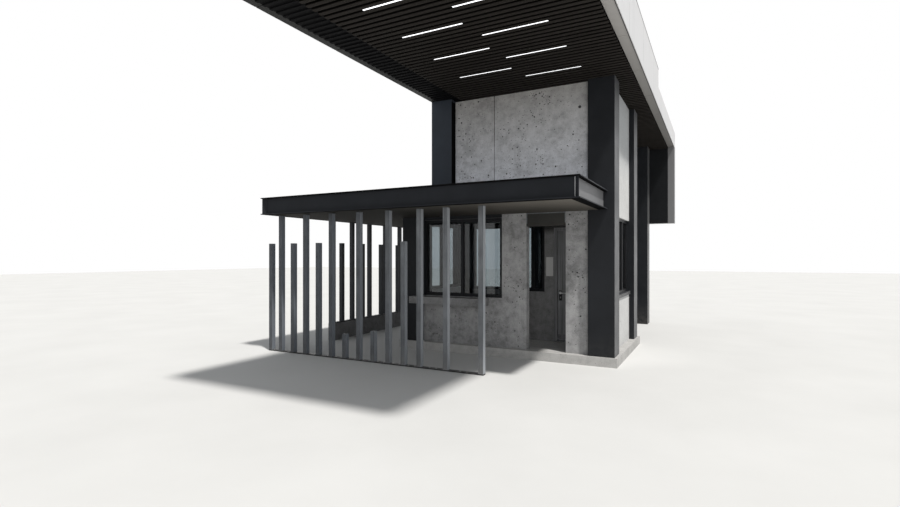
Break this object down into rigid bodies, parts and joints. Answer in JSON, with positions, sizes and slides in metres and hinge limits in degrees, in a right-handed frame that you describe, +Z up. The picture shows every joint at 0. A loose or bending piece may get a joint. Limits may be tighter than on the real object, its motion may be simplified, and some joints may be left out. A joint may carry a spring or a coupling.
{
  "type": "security guard booth with canopy",
  "caption": "Guard booth with a vestibule door, windows and a counter shelf, a low canopy on a row of posts and a long high roof that folds down at the rear.",
  "frame": {"origin": "middle of the plinth's underside, on the ground", "axes": "+Z up, -Y towards the front with the entrance and the post row, +X to the right seen from the front"},
  "size_m": [6.422, 11.41, 5.42],
  "materials": {
    "plinth_concrete": "matt cast concrete",
    "wall_concrete": "fair-faced cast concrete with bug holes",
    "side_concrete": "pale grooved concrete",
    "dark_steel": "satin anthracite paint",
    "header_panel": "satin grey paint",
    "post_steel": "matt grey paint on galvanised tube",
    "window_frame": "black coated aluminium",
    "window_glass": "clear float glass",
    "door_steel": "satin dark grey paint",
    "handle_steel": "brushed stainless steel",
    "ceiling_board": "matt white board",
    "floor_tile": "matt grey tile",
    "canopy_board": "matt warm grey board",
    "roof_sheet": "matt grey roof sheet",
    "soffit_slats": "near black brown slats",
    "light_strip": "opal light strip",
    "white_panel": "white composite panel"
  },
  "bodies": {
    "booth": {"plinth": "plinth_concrete", "floor_finish": "floor_tile", "booth_columns": "dark_steel", "upper_columns": "dark_steel", "rear_columns": "dark_steel", "transfer_beams": "dark_steel", "tie_beams": "dark_steel", "ceiling_board": "ceiling_board", "front_dado": "wall_concrete", "front_piers": "wall_concrete", "entrance_header": "header_panel", "window_heads": "dark_steel", "counter_shelf": "wall_concrete", "side_dados": "side_concrete", "rear_dado": "wall_concrete", "rear_wall": "wall_concrete", "vestibule_dado": "wall_concrete", "vestibule_wall": "wall_concrete", "door_header": "wall_concrete", "sill_flashings": "dark_steel", "front_window_frame": "window_frame", "side_window_frames": "window_frame", "rear_window_frame": "window_frame", "vestibule_window_frame": "window_frame", "window_glass": "window_glass", "door_frame": "door_steel", "front_upper_panels": "wall_concrete", "rear_upper_panels": "wall_concrete", "right_upper_panel": "side_concrete", "left_upper_panel": "side_concrete", "canopy_front_beam": "dark_steel", "canopy_side_beams": "dark_steel", "canopy_rear_beam": "dark_steel", "canopy_soffit": "canopy_board", "canopy_deck": "roof_sheet", "post_rail": "dark_steel", "front_tall_posts": "post_steel", "front_short_posts": "post_steel", "screen_wall": "wall_concrete", "screen_rail": "dark_steel", "screen_tall_posts": "dark_steel", "screen_short_posts": "dark_steel", "roof_girders": "dark_steel", "roof_deck": "roof_sheet", "slatted_soffit": "soffit_slats", "light_strips": "light_strip", "side_fascias": "white_panel", "end_fascias": "white_panel", "raised_edge": "white_panel", "return_shell": "white_panel", "return_lining": "dark_steel"},
    "door": {"door_leaf": "door_steel", "door_handles": "handle_steel"}
  },
  "joints": [
    {"name": "door_hinge", "type": "hinge", "parent": "booth", "child": "door", "pos_m": [1.561, -0.005, 1.2], "axis": [0, 0, -1], "range_deg": [0, 90]}
  ]
}
